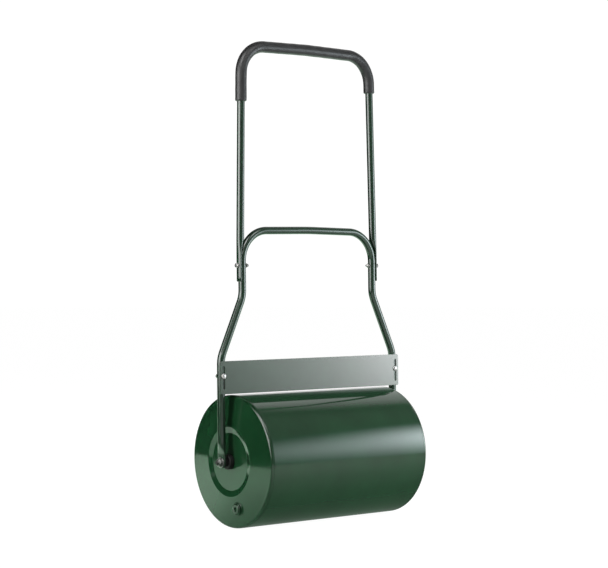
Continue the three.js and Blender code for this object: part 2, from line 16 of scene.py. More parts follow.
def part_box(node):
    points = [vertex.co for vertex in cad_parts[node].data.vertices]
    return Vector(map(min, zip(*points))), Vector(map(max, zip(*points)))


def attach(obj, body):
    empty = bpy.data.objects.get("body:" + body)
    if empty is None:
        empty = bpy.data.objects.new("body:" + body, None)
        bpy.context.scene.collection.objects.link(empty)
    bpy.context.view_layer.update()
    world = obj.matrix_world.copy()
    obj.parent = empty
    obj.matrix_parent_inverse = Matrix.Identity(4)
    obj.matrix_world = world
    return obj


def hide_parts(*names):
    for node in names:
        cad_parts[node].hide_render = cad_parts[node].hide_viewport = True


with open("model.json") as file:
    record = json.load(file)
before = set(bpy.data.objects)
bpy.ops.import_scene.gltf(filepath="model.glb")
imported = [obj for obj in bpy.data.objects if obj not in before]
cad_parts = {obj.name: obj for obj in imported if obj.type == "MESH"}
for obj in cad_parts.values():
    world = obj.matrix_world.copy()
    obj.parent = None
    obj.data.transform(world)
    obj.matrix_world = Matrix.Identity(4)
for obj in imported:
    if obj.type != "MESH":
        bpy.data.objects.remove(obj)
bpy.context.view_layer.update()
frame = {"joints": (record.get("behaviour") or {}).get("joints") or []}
scene = bpy.context.scene

# ---- sizes read from the frame

MM = 0.001
X, Y, Z = range(3)
joints = {joint["name"]: joint for joint in frame["joints"]}


def top_of(node, axis):
    """The node's highest coordinate along an axis, in millimetres."""
    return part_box(node)[1][axis] / MM


def ends_of(node):
    """How far from the middle a node starts and ends along X, in millimetres, on either side."""
    return tuple(sorted(abs(corner[X]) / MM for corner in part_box(node)))


AXLE_HEIGHT = joints["drum_spin"]["pos_m"][Z] / MM
LEAN = asin(joints["scraper_slide"]["axis"][Y])
DRUM_PLACE = Matrix.Translation((0, 0, AXLE_HEIGHT))
HANDLE_PLACE = DRUM_PLACE @ Matrix.Rotation(-LEAN, 4, "X")
HALF_TURN = Matrix.Rotation(pi, 4, "Z")
SIDES = (("left", HALF_TURN), ("right", Matrix()))

DRUM_RADIUS = AXLE_HEIGHT
SHELL_END = top_of("drum_shell", X)
CAP_START, CAP_TOP = ends_of("right_end_cap")
SLEEVE_END = top_of("axle_sleeve", X)
BUSH_INNER, BUSH_FACE = ends_of("right_hub_bush")
AXLE_END = top_of("axle_shaft", X)
AXLE_RADIUS = top_of("axle_shaft", Z) - AXLE_HEIGHT
AXLE_SPACER = ends_of("right_axle_spacer")
AXLE_WASHER = ends_of("right_axle_washer")
AXLE_NUT = ends_of("right_axle_nut")
HANDLE_BOLT = ends_of("right_handle_bolt")
HANDLE_WASHER = ends_of("right_handle_washer")
HANDLE_NUT = ends_of("right_handle_nut")
LEG_X = sum(ends_of("right_scraper_nut")) / 2
SCRAPER_HALF_LENGTH = top_of("scraper_plate", X)
NECK_INNER_END, NECK_OUTER_END = ends_of("fill_neck")
GASKET = ends_of("plug_gasket")
PLUG = ends_of("fill_plug")
PLUG_Y = joints["plug_turn"]["pos_m"][Y] / MM
PLUG_Z = joints["plug_turn"]["pos_m"][Z] / MM
PLUG_PLACE = Matrix.Translation((0, PLUG_Y, PLUG_Z)) @ HALF_TURN

# ---- sizes shared with the design

SHELL_WALL = 1.2
RIM_RADIUS = 8
RIM_POWER = 0.75                      # below 1 the rim is squarer than a circle
CAP_WALL = 1.5
STEP_OUTER_RADIUS = 84
STEP_INNER_RADIUS = 70
STEP_DEPTH = 3.5
STEP_ROUNDING = 9
SLEEVE_OUTER_RADIUS = 17
SLEEVE_INNER_RADIUS = 15
BUSH_FLANGE_RADIUS = 18
BUSH_FLANGE_THICKNESS = 12

TUBE_RADIUS = 9.5
TUBE_WALL = 1.4
LEG_BEND_HEIGHT = 248.5
HOOP_X = 206.3
HOOP_BEND_HEIGHT = 396.5
HOOP_TOP = 555
CROWN = 3.5
FORK_BEND_RADIUS = 75
CROWN_BEND_RADIUS = 900
PADDLE_HALF_WIDTH = 14
PADDLE_HALF_THICKNESS = 2.8
PADDLE_TOP = 20
PADDLE_BLEND_TOP = 46
PRESSED_SQUARENESS = 0.62

HANDLE_FOOT_X = 212.8
HANDLE_TOP_X = 202
HANDLE_TOP = 1003.5
HANDLE_BEND_RADIUS = 70
SADDLE_BOTTOM = 432
SADDLE_TOP = 495
SADDLE_BLEND_TOP = 540
SADDLE_FOOT_EDGE = 0.6
SADDLE_INNER_RADIUS = 9.9
SADDLE_OUTER_RADIUS = 13.4
SADDLE_HALF_ANGLE = radians(50)
SADDLE_WALL_ANGLE = radians(7)
SADDLE_EDGE_ANGLE = radians(8)
GRIP_RADIUS = 14
GRIP_EDGE = 3.0
GRIP_LUMPS = 0.35
GRIP_LEFT_END = 868
GRIP_RIGHT_END = 912

M6_RADIUS = 3
M6_ACROSS_FLATS = 10
M6_HEAD_HEIGHT = 3.6
M6_PITCH = 1
M6_SHANK = 23
M6_WASHER_RADIUS = 6.2
HANDLE_BOLT_HEIGHT = 471
DOME_RADIUS = 6.8
DOME_HEIGHT = 3.6
AXLE_PITCH = 1.75
AXLE_THREAD = 22
AXLE_SPACER_RADIUS = 11
AXLE_WASHER_RADIUS = 13
AXLE_NUT_ACROSS_FLATS = 18

SCRAPER_BOTTOM = 163
SCRAPER_TOP = 242
SCRAPER_THICKNESS = 2
SCRAPER_FRONT = -11.8
SCRAPER_CORNER = 4
SCRAPER_EDGE = 0.5
SLOT_HALF_WIDTH = 3.4
SLOT_BOTTOM = 174
SLOT_TOP = 230
SCRAPER_BOLT_HEIGHT = 206
SCRAPER_BOLT_TAIL = 20
SCRAPER_NUT = (-16.3, -11.3)          # along the coach bolt, whose head is at the high end
SCRAPER_WASHER = (-11, -9.8)

NECK_OUTER_RADIUS = 15
NECK_BORE_RADIUS = 11.5
NECK_SEAT_RADIUS = 12.9
NECK_SEAT = 250
WELD_SIZE = 1.7
WELD_SEED = 3.0
PLUG_SHANK_RADIUS = 11
PLUG_HEAD_RADIUS = 12.4
PLUG_HEAD_HEIGHT = 4.8
PLUG_HEAD_EDGE = 1.3
PLUG_KEY_ACROSS_FLATS = 10
PLUG_KEY_DEPTH = 4
PLUG_PITCH = 4

# ---- mesh helpers


class Shape:
    """The points and faces of a piece."""

    def __init__(self):
        self.points = []
        self.faces = []

    def skin(self, rings, closed=False, capped=False):
        """Joins rings of equally many points. closed joins the last ring to the first."""
        start = len(self.points)
        count = len(rings[0])
        for ring in rings:
            self.points.extend(ring)
        for i in range(len(rings) if closed else len(rings) - 1):
            near = start + i * count
            far = start + (i + 1) % len(rings) * count
            for k in range(count):
                after = (k + 1) % count
                self.faces.append((near + k, near + after, far + after, far + k))
        if capped:
            end = start + len(rings) * count
            self.faces.append(tuple(range(start + count - 1, start - 1, -1)))
            self.faces.append(tuple(range(end - count, end)))
        return self

    def fill(self, loops):
        """Closes a flat outline, with holes if there is more than one loop, by triangles."""
        start = len(self.points)
        for loop in loops:
            self.points.extend(loop)
        outlines = [[Vector(point) for point in loop] for loop in loops]
        for triangle in geometry.tessellate_polygon(outlines):
            self.faces.append(tuple(start + index for index in triangle))
        return self

    def shifted(self, matrix):
        """Moves every point by a matrix."""
        self.points = [matrix @ Vector(point) for point in self.points]
        return self


def add_piece(name, shape, material, place, node=None, body="frame", crease=38):
    """Makes the piece, sets it on its body and lets it stand for its CAD node, if it has one."""
    mesh = bpy.data.meshes.new(name)
    mesh.from_pydata([tuple(point) for point in shape.points], [], shape.faces)
    work = bmesh.new()
    work.from_mesh(mesh)
    bmesh.ops.remove_doubles(work, verts=work.verts, dist=0.002)
    bmesh.ops.recalc_face_normals(work, faces=work.faces)
    work.transform(Matrix.Scale(MM, 4) @ place)
    work.to_mesh(mesh)
    work.free()
    mesh.polygons.foreach_set("use_smooth", [True] * len(mesh.polygons))
    mesh.set_sharp_from_angle(angle=radians(crease))
    mesh.materials.append(material)
    piece = bpy.data.objects.new(name, mesh)
    scene.collection.objects.link(piece)
    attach(piece, body)
    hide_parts(*([node] if node else []))
    return piece


def rounded(corners, closed=False, step=radians(12)):
    """An outline whose corners (a, b, fillet radius) are arcs; one without a radius stays sharp.

    A point just before and after each arc keeps the flats beside it flat when shaded smooth.
    """
    points = []
    for i, corner in enumerate(corners):
        here = Vector(corner[:2])
        at_end = not closed and i in (0, len(corners) - 1)
        if len(corner) == 2 or at_end:
            points.append(tuple(here))
            continue
        back = Vector(corners[i - 1][:2]) - here
        on = Vector(corners[(i + 1) % len(corners)][:2]) - here
        back_way, on_way = back.normalized(), on.normalized()
        turn = pi - back.angle(on)
        reach = min(corner[2] * tan(turn / 2), 0.49 * back.length, 0.49 * on.length)
        radius = reach / tan(turn / 2)
        start = here + back_way * reach
        centre = here + (back_way + on_way).normalized() * (radius / cos(turn / 2))
        sign = copysign(1, -back.x * on.y + back.y * on.x)
        steps = max(2, ceil(turn / step))
        points.append(tuple(start + back_way * min(0.1 * reach, 0.01 * back.length)))
        for k in range(steps + 1):
            arm = (start - centre).copy()
            arm.rotate(Matrix.Rotation(sign * turn * k / steps, 2))
            points.append(tuple(centre + arm))
        points.append(tuple(here + on_way * (reach + min(0.1 * reach, 0.01 * on.length))))
    return points


def angles(count):
    """Angles spaced evenly round a circle."""
    return [2 * pi * k / count for k in range(count)]


def about_x(a, x, r):
    """The point at an angle round the X axis."""
    return (x, r * sin(a), r * cos(a))


def turned(profile, sides=96, closed=True):
    """A profile of (x, radius) points turned round the X axis."""
    rings = [[about_x(a, x, r) for a in angles(sides)] for x, r in profile]
    return Shape().skin(rings, closed=closed)


def polar(stations, sides=96, closed=False):
    """Rings round the X axis; each station gives (x, radius) for an angle."""
    rings = [[about_x(a, *station(a)) for a in angles(sides)] for station in stations]
    return Shape().skin(rings, closed=closed)


def hexagon(across_flats):
    """The radius of a hexagon as a function of the angle, with its corners slightly rounded."""
    corner_limit = across_flats / sqrt(3) * 0.985

    def radius(a):
        offset = (a + pi / 6) % (pi / 3) - pi / 6
        return min(across_flats / 2 / cos(offset), corner_limit)

    return radius


def hex_body(low, high, across_flats, bore, chamfer_low=True):
    """A hexagonal nut or head along X with 30 degree chamfers and a countersunk bore."""
    flat = hexagon(across_flats)
    circle = across_flats / 2 * 0.95
    slope = tan(radians(30))

    def drop(a):
        return max(0.0, flat(a) - circle) * slope

    sink = min(0.6, bore * 0.2) if bore else 0
    low_drop = drop if chamfer_low else (lambda a: 0.0)
    return polar([
        lambda a: (low + sink, bore), lambda a: (low, bore + sink), lambda a: (low, circle),
        lambda a: (low + low_drop(a), flat(a)), lambda a: (high - drop(a), flat(a)),
        lambda a: (high, circle), lambda a: (high, bore + sink), lambda a: (high - sink, bore),
    ], closed=bool(bore))


def threaded(low, high, radius, pitch, chamfer_high=True, sides=48):
    """A threaded rod along X: a helical ridge, with a chamfered tip at the high end."""
    depth = 0.55 * pitch
    chamfer = 0.8 * pitch
    count = max(4, ceil((high - low) / (pitch / 8)))
    rings = [[(low, 0, 0)] * sides]
    for i in range(count + 1):
        x = low + (high - low) * i / count
        ring = []
        for a in angles(sides):
            phase = (x / pitch - a / (2 * pi)) % 1
            r = radius - depth * abs(2 * phase - 1) ** 1.4
            if chamfer_high:
                r = min(r, radius - max(0.0, x - (high - chamfer)))
            ring.append(about_x(a, x, r))
        rings.append(ring)
    rings.append([(high, 0, 0)] * sides)
    return Shape().skin(rings)


def combined(*shapes):
    """Several shapes as one."""
    whole = Shape()
    for shape in shapes:
        start = len(whole.points)
        whole.points.extend(shape.points)
        whole.faces.extend(tuple(start + index for index in face) for face in shape.faces)
    return whole


def rod(low, high, radius, edge=0.4, sides=64):
    """A plain round bar along X with softened ends."""
    profile = rounded([(low, 0), (low, radius, edge), (high, radius, edge), (high, 0)])
    return turned(profile, sides, closed=False)


def collar(low, high, inner, outer, edge, sides=96):
    """A ring along X with softened edges."""
    corners = [
        (low, inner, edge / 2), (high, inner, edge / 2), (high, outer, edge), (low, outer, edge),
    ]
    return turned(rounded(corners, closed=True), sides)


def bent_path(corners, spacing=12.0):
    """Stations (point, tangent) along a bent tube's centre line in the XZ plane.

    Each corner is (x, z) at the ends and (x, z, bend radius) between them.
    """
    points = [Vector(corner[:2]) for corner in corners]
    stations = [(points[0], (points[1] - points[0]).normalized())]

    def straight_to(point, tangent):
        start = stations[-1][0]
        steps = max(1, ceil((point - start).length / spacing))
        for k in range(1, steps + 1):
            stations.append((start.lerp(point, k / steps), tangent))

    for i in range(1, len(corners) - 1):
        before = (points[i] - points[i - 1]).normalized()
        after = (points[i + 1] - points[i]).normalized()
        turn = atan2(before.cross(after), before.dot(after))
        radius = corners[i][2]
        start = points[i] - before * radius * tan(abs(turn) / 2)
        straight_to(start, before)
        side = Vector((-before.y, before.x)) * copysign(radius, turn)
        centre = start + side
        steps = max(2, ceil(abs(turn) / radians(3)))
        for k in range(1, steps + 1):
            spin = Matrix.Rotation(turn * k / steps, 2)
            stations.append((centre + spin @ (start - centre), spin @ before))
    straight_to(points[-1], (points[-1] - points[-2]).normalized())
    return stations


def placed(station, section):
    """A section of (outwards, along Y) points set on a station of a bent path."""
    point, tangent = station
    return [(point.x - tangent.y * out, y, point.y + tangent.x * out) for out, y in section]


TUBE_SIDES = 64


def round_section(radius):
    """A circle of points."""
    return [(radius * cos(a), radius * sin(a)) for a in angles(TUBE_SIDES)]


def round_tube(path, radius):
    """Circles along a bent path."""
    return [placed(station, round_section(radius)) for station in path]


def pressed_section(half_thickness, half_width, flatness):
    """A squeezed tube: an ellipse that gets squarer as flatness goes from 0 to 1."""
    power = 1 - PRESSED_SQUARENESS * flatness

    def soften(value):
        return copysign(abs(value) ** power, value)

    return [(half_thickness * soften(cos(a)), half_width * soften(sin(a)))
            for a in angles(TUBE_SIDES)]


def quarter(steps):
    """Angles from 0 to a quarter turn."""
    return [pi / 2 * k / steps for k in range(steps + 1)]


def smooth(value):
    """A smooth step from 0 to 1."""
    value = min(1.0, max(0.0, value))
    return value * value * (3 - 2 * value)


def lerp(low, high, share):
    """A value between two others."""
    return low + (high - low) * share


# ---- materials


class Finish:
    """A Principled material with short calls for its procedural detail.

    Scales are features per metre, and bump distances are metres.
    """

    def __init__(self, name, **constants):
        self.material = bpy.data.materials.new(name)
        self.material.use_nodes = True
        self.tree = self.material.node_tree
        self.shader = self.tree.nodes["Principled BSDF"]
        self.place = self.tree.nodes.new("ShaderNodeTexCoord").outputs["Object"]
        for socket, value in constants.items():
            self.shader.inputs[socket.replace("_", " ")].default_value = value

    def node(self, kind, output, links, **numbers):
        """Adds a node with its links and numbers, and returns one of its outputs."""
        node = self.tree.nodes.new(f"ShaderNode{kind}")
        if kind == "Mix":
            node.data_type = "RGBA"
        for socket, value in numbers.items():
            node.inputs[socket.replace("_", " ")].default_value = value
        for socket, source in links.items():
            self.tree.links.new(source, node.inputs[socket])
        return node.outputs[output]

    def stretched(self, scale):
        """The object's coordinates with each axis scaled."""
        return self.node("Mapping", "Vector", {"Vector": self.place}, Scale=scale)

    def noise(self, scale, detail, place=None):
        """Soft noise."""
        return self.node("TexNoise", "Fac", {"Vector": place or self.place}, Scale=scale,
                         Detail=detail, Roughness=0.55)

    def cells(self, scale):
        """Distance to the nearest of many scattered points."""
        return self.node("TexVoronoi", "Distance", {"Vector": self.place}, Scale=scale)

    def spread(self, value, low, high):
        """Maps the middle part of a noise to low..high."""
        return self.node("MapRange", "Result", {"Value": value}, From_Min=0.3, From_Max=0.7,
                         To_Min=low, To_Max=high)

    def clouds(self, scale, detail, first, second):
        """Soft patches of two colours."""
        share = self.spread(self.noise(scale, detail), 0, 1)
        return self.node("Mix", "Result", {"Factor": share}, A=(*first, 1), B=(*second, 1))

    def haze(self, scale, detail, roughness):
        """Roughness that drifts between two values."""
        return self.spread(self.noise(scale, detail), *roughness)

    def bump(self, height, distance, before=None, strength=1.0):
        """A bump on top of an earlier one."""
        links = {"Height": height, "Normal": before} if before else {"Height": height}
        return self.node("Bump", "Normal", links, Distance=distance, Strength=strength)

    def finish(self, colour, roughness, normal):
        """Links the detail to the shader and returns the material."""
        for socket, value in (("Base Color", colour), ("Roughness", roughness), ("Normal", normal)):
            self.tree.links.new(value, self.shader.inputs[socket])
        return self.material


def grey(value):
    """A neutral colour."""
    return (value, value, value)


def enamel(name, base, gloss, peel, ripple, grain=(1, 1, 1), **constants):
    """Sprayed enamel: cloudy colour and haze, orange peel, and a ripple in the sheet.

    grain stretches the ripple along an axis.
    """
    finish = Finish(name, **constants)
    deep, light = (tuple(channel * share for channel in base) for share in (0.86, 1.14))
    sheet = finish.bump(finish.noise(7, 1, finish.stretched(grain)), ripple)
    skin = finish.bump(finish.noise(330, 1), peel, sheet)
    return finish.finish(finish.clouds(9, 3, deep, light), finish.haze(26, 4, gloss), skin)


def zinc_plate(name, dark, light, haze):
    """Zinc plate: mottled grey with faint blue and straw patches."""
    finish = Finish(name, Metallic=1.0)
    grain = finish.bump(finish.noise(1500, 2), 0.000012)
    return finish.finish(finish.clouds(160, 4, dark, light), finish.haze(420, 3, haze), grain)


def foam(name, dark, light, haze, **constants):
    """Closed-cell foam: fine pores, a soft mottled skin and a little sheen."""
    finish = Finish(name, **constants)
    pores = finish.bump(finish.cells(950), 0.00006, strength=0.5)
    skin = finish.bump(finish.noise(180, 2), 0.00010, pores, strength=0.5)
    return finish.finish(finish.clouds(60, 3, dark, light), finish.haze(240, 2, haze), skin)


def moulded(name, dark, light, haze, grain, **constants):
    """Moulded plastic or rubber with a fine grain."""
    finish = Finish(name, **constants)
    skin = finish.bump(finish.noise(1100, 2), grain)
    return finish.finish(finish.clouds(120, 3, dark, light), finish.haze(300, 2, haze), skin)


drum_paint = enamel("drum_enamel", (0.0105, 0.058, 0.021), gloss=(0.06, 0.10), peel=0.0000035,
                    ripple=0.00010, grain=(0.3, 1.5, 1.5), IOR=1.5)
frame_paint = enamel("frame_enamel", (0.0085, 0.040, 0.017), gloss=(0.13, 0.19), peel=0.0000008,
                     ripple=0.00001, IOR=1.6)
scraper_paint = enamel("scraper_enamel", (0.011, 0.060, 0.027), gloss=(0.17, 0.21),
                       peel=0.0000012, ripple=0.00012, IOR=1.78,
                       Specular_Tint=(0.98, 0.87, 0.86, 1.0))
zinc = zinc_plate("zinc_bright", (0.42, 0.43, 0.44), (0.58, 0.57, 0.54), (0.22, 0.40))
dull_zinc = zinc_plate("zinc_dull", (0.17, 0.18, 0.175), (0.27, 0.27, 0.255), (0.28, 0.45))
axle_steel = zinc_plate("axle_steel", (0.035, 0.037, 0.036), (0.060, 0.060, 0.056), (0.35, 0.50))
grip_foam = foam("grip_foam", grey(0.019), grey(0.028), (0.34, 0.44), Specular_IOR_Level=0.4,
                 Sheen_Weight=0.05, Sheen_Roughness=0.5)
plastic = moulded("bush_plastic", grey(0.004), grey(0.008), (0.45, 0.60), grain=0.00002,
                  Specular_IOR_Level=0.25)
plug_plastic = moulded("plug_plastic", (0.008, 0.040, 0.015), (0.011, 0.052, 0.020), (0.10, 0.16),
                       grain=0.000004)
rubber = moulded("seal_rubber", grey(0.012), grey(0.018), (0.55, 0.68), grain=0.00003)
nylon = moulded("nut_nylon", grey(0.03), grey(0.045), (0.35, 0.45), grain=0.00001)

# ---- drum

DRUM_SIDES = 256
SEAM_ANGLE = radians(118)        # the shell's butt weld, at the back and low down
SEAM_HALF_WIDTH = radians(0.9)
SEAM_HEIGHT = 0.35
EDGE_GROOVE = 0.5                     # softened edges where the shell meets the caps


def drum_shell():
    """The rolled sheet, with the raised line of its butt weld."""
    near_seam = [SEAM_ANGLE + SEAM_HALF_WIDTH * k / 5 for k in range(-6, 7)]
    spread = [a for a in angles(DRUM_SIDES) if abs(a - SEAM_ANGLE) > 1.3 * SEAM_HALF_WIDTH]
    around = sorted(spread + near_seam)
    inner = DRUM_RADIUS - SHELL_WALL
    corners = [
        (-SHELL_END, inner), (SHELL_END, inner),
        (SHELL_END, DRUM_RADIUS, EDGE_GROOVE), (-SHELL_END, DRUM_RADIUS, EDGE_GROOVE),
    ]
    rings = []
    for x, r in rounded(corners, closed=True, step=radians(30)):
        ring = []
        for a in around:
            share = abs(a - SEAM_ANGLE) / SEAM_HALF_WIDTH
            bead = SEAM_HEIGHT * (1 - smooth(share)) if r > inner + SHELL_WALL / 2 else 0
            ring.append(about_x(a, x, r + bead))
        rings.append(ring)
    return Shape().skin(rings, closed=True)


def cap_x(radius):
    """Where the outside of the right cap's cone is at a distance from the axle."""
    flat_start = DRUM_RADIUS - RIM_RADIUS
    share = (flat_start - radius) / (flat_start - STEP_OUTER_RADIUS)
    return lerp(CAP_START + RIM_RADIUS, CAP_TOP, share)


def end_cap():
    """The pressed right cap: rolled rim, shallow cone, ring step and hub disc."""
    hub = SLEEVE_OUTER_RADIUS + 0.3
    disc = CAP_TOP - STEP_DEPTH
    rim = [(CAP_START + RIM_RADIUS * sin(turn) ** RIM_POWER,
            DRUM_RADIUS - RIM_RADIUS * (1 - cos(turn) ** RIM_POWER))
           for turn in quarter(16)[:-1]]
    rim.append((CAP_START + RIM_RADIUS, DRUM_RADIUS - RIM_RADIUS))
    rim[:1] = [(CAP_START, DRUM_RADIUS - 0.3), (CAP_START + 0.35, DRUM_RADIUS)]
    cone_ends = (DRUM_RADIUS - RIM_RADIUS - 2, STEP_OUTER_RADIUS + 5)
    cone = [(cap_x(r), r) for r in (lerp(*cone_ends, k / 24) for k in range(25))]
    step = rounded([
        cone[-1], (CAP_TOP, STEP_OUTER_RADIUS, STEP_ROUNDING),
        (disc, STEP_INNER_RADIUS, STEP_ROUNDING), (disc, STEP_INNER_RADIUS - 6),
    ], step=radians(2))
    hub_lip = rounded([step[-1], (disc, hub, 1), (disc - CAP_WALL, hub)])
    inside = [
        (disc - CAP_WALL, STEP_INNER_RADIUS - 2),
        (CAP_TOP - CAP_WALL, STEP_OUTER_RADIUS - 2),
        (cap_x(DRUM_RADIUS - RIM_RADIUS) - CAP_WALL, DRUM_RADIUS - RIM_RADIUS),
        (CAP_START + 2, DRUM_RADIUS - CAP_WALL),
        (CAP_START, DRUM_RADIUS - CAP_WALL),
    ]
    return turned([*rim, *cone[1:-1], *step, *hub_lip[1:], *inside], DRUM_SIDES)


def cut_round_hole(piece, place, radius, low, high):
    """Cuts a round hole along X through a finished piece."""
    cutter = add_piece("cutter", rod(low, high, radius, sides=96), drum_paint, place, body="drum")
    tool = piece.modifiers.new("hole", "BOOLEAN")
    tool.object = cutter
    tool.solver = "EXACT"
    bpy.context.view_layer.update()
    evaluated = piece.evaluated_get(bpy.context.evaluated_depsgraph_get())
    holed = bpy.data.meshes.new_from_object(evaluated)
    piece.modifiers.remove(tool)
    piece.data = holed
    bpy.data.objects.remove(cutter)


def weld_bead(sides=160):
    """A fillet weld round the neck: a rippled bead that follows the dished cap."""
    rings = []
    for a in angles(sides):
        _, along, up = about_x(a, 0, 1)
        size = WELD_SIZE * (1 + 0.10 * noise.noise(Vector((WELD_SEED, 9 * along, 9 * up))))
        height = 0.55 * size * (1 + 0.05 * sin(a * 46))
        ring = []
        for t in angles(14):
            reach = NECK_OUTER_RADIUS + 0.4 + size * cos(t)
            y, z = reach * along, reach * up
            surface = cap_x(hypot(PLUG_Y - y, PLUG_Z - AXLE_HEIGHT + z))
            ring.append((surface + height * sin(t), y, z))
        rings.append(ring)
    return Shape().skin(rings, closed=True)


def hub_bush():
    """Flanged plastic bush with a grease groove round its flange."""
    flange = BUSH_FACE - BUSH_FLANGE_THICKNESS
    bore = AXLE_RADIUS + 0.4
    spigot = SLEEVE_INNER_RADIUS - 0.3
    middle = (flange + BUSH_FACE) / 2
    corners = [
        (BUSH_INNER, bore), (BUSH_INNER, spigot, 1),
        (flange, spigot), (flange, BUSH_FLANGE_RADIUS, 0.6),
        (middle - 1.2, BUSH_FLANGE_RADIUS, 0.4), (middle - 0.8, BUSH_FLANGE_RADIUS - 0.8, 0.3),
        (middle + 0.8, BUSH_FLANGE_RADIUS - 0.8, 0.3), (middle + 1.2, BUSH_FLANGE_RADIUS, 0.4),
        (BUSH_FACE - 2, BUSH_FLANGE_RADIUS, 1), (BUSH_FACE, BUSH_FLANGE_RADIUS - 2, 1),
        (BUSH_FACE, bore, 0.5),
    ]
    return turned(rounded(corners, closed=True))


def fill_neck():
    """The threaded neck welded into the left cap."""
    corners = [
        (NECK_INNER_END, NECK_BORE_RADIUS), (NECK_INNER_END, NECK_OUTER_RADIUS),
        (NECK_OUTER_END, NECK_OUTER_RADIUS, 1.4), (NECK_OUTER_END, NECK_SEAT_RADIUS, 0.6),
        (NECK_SEAT, NECK_SEAT_RADIUS, 0.3), (NECK_SEAT, NECK_BORE_RADIUS, 0.3),
    ]
    return turned(rounded(corners, closed=True))


def fill_plug():
    """The screwed plug: round-edged head with a hexagon socket, and a coarse thread."""
    top = PLUG[1]
    head = top - PLUG_HEAD_HEIGHT
    socket = hexagon(PLUG_KEY_ACROSS_FLATS)
    edge = PLUG_HEAD_EDGE

    def shoulder(turn):
        return lambda a: (top - edge * (1 - sin(turn)),
                          PLUG_HEAD_RADIUS - edge * (1 - cos(turn)))

    crown = polar([
        lambda a: (head, 0), lambda a: (head, PLUG_SHANK_RADIUS),
        lambda a: (head, PLUG_HEAD_RADIUS - 0.3), lambda a: (head + 0.3, PLUG_HEAD_RADIUS),
        *(shoulder(turn) for turn in quarter(8)),
        lambda a: (top, socket(a) + 0.5), lambda a: (top - 0.5, socket(a)),
        lambda a: (top - PLUG_KEY_DEPTH, socket(a)), lambda a: (top - PLUG_KEY_DEPTH, 0),
    ], sides=144)
    shank = threaded(PLUG[0], head + 0.2, PLUG_SHANK_RADIUS, PLUG_PITCH, chamfer_high=False,
                     sides=96)
    return combined(crown, shank)


add_piece("drum_shell_rolled", drum_shell(), drum_paint, DRUM_PLACE, "drum_shell", "drum", 20)
left_cap = add_piece("left_cap_pressed", end_cap(), drum_paint, DRUM_PLACE @ HALF_TURN,
                     "left_end_cap", "drum", 30)
cut_round_hole(left_cap, PLUG_PLACE, NECK_OUTER_RADIUS + 0.2, NECK_INNER_END - 10,
               NECK_OUTER_END + 10)
add_piece("right_cap_pressed", end_cap(), drum_paint, DRUM_PLACE, "right_end_cap", "drum", 30)
sleeve = collar(-SLEEVE_END, SLEEVE_END, SLEEVE_INNER_RADIUS, SLEEVE_OUTER_RADIUS, 0.4)
add_piece("axle_sleeve_tube", sleeve, drum_paint, DRUM_PLACE, "axle_sleeve", "drum")
for side, turn in SIDES:
    add_piece(f"{side}_hub_bush_moulded", hub_bush(), plastic, DRUM_PLACE @ turn,
              f"{side}_hub_bush", "drum")
add_piece("fill_neck_turned", fill_neck(), drum_paint, PLUG_PLACE, "fill_neck", "drum")
add_piece("fill_neck_weld", weld_bead(), drum_paint, PLUG_PLACE, body="drum", crease=60)
gasket = collar(*GASKET, PLUG_SHANK_RADIUS + 0.3, PLUG_HEAD_RADIUS, 0.4)
add_piece("plug_gasket_ring", gasket, rubber, PLUG_PLACE, "plug_gasket", "plug_seal")
add_piece("fill_plug_moulded", fill_plug(), plug_plastic, PLUG_PLACE, "fill_plug", "plug")

# ---- fork


def fork_corners():
    """Corners of the fork's centre line, from the left paddle over the hoop to the right one."""
    left = [
        (-LEG_X, PADDLE_BLEND_TOP), (-LEG_X, LEG_BEND_HEIGHT, FORK_BEND_RADIUS),
        (-HOOP_X, HOOP_BEND_HEIGHT, FORK_BEND_RADIUS), (-HOOP_X, HOOP_TOP, FORK_BEND_RADIUS),
    ]
    right = [(-corner[0], *corner[1:]) for corner in reversed(left)]
    return [*left, (0, HOOP_TOP + CROWN, CROWN_BEND_RADIUS), *right]


def paddle_rings(x, tangent_z):
    """Rings of one flattened leg end, from its round tip up to the plain tube."""
    tangent = Vector((0, tangent_z))

    def ring(height, half_width, half_thickness, flatness):
        section = pressed_section(half_thickness, half_width, flatness)
        return placed((Vector((x, height)), tangent), section)

    rings = []
    for turn in quarter(16):
        edge = min(1.0, sin(turn) * 4 + 0.25)
        rings.append(ring(-PADDLE_HALF_WIDTH * cos(turn), PADDLE_HALF_WIDTH * sin(turn),
                          PADDLE_HALF_THICKNESS * edge, 1))
    for k in range(25):
        share = smooth(k / 24)
        height = lerp(PADDLE_TOP, PADDLE_BLEND_TOP, k / 24)
        rings.append(ring(height, lerp(PADDLE_HALF_WIDTH, TUBE_RADIUS, share),
                          lerp(PADDLE_HALF_THICKNESS, TUBE_RADIUS, share), 1 - share))
    return rings


def lower_frame():
    """The bent fork with its flattened ends."""
    tube = round_tube(bent_path(fork_corners()), TUBE_RADIUS)
    left = paddle_rings(-LEG_X, 1)
    right = paddle_rings(LEG_X, -1)
    return Shape().skin([*left[:-1], *tube, *right[-2::-1]], capped=True)


add_piece("lower_frame_bent_tube", lower_frame(), frame_paint, HANDLE_PLACE, "lower_frame",
          crease=50)

# ---- upper handle and grip


def handle_x(height):
    """Centre of the right handle leg at a height."""
    share = (height - SADDLE_BOTTOM) / (HANDLE_TOP - SADDLE_BOTTOM)
    return lerp(HANDLE_FOOT_X, HANDLE_TOP_X, share)


def handle_corners(left_end, right_end):
    """Corners of the handle's centre line between two heights."""
    return [
        (-handle_x(left_end), left_end), (-HANDLE_TOP_X, HANDLE_TOP, HANDLE_BEND_RADIUS),
        (0, HANDLE_TOP + CROWN, CROWN_BEND_RADIUS),
        (HANDLE_TOP_X, HANDLE_TOP, HANDLE_BEND_RADIUS), (handle_x(right_end), right_end),
    ]


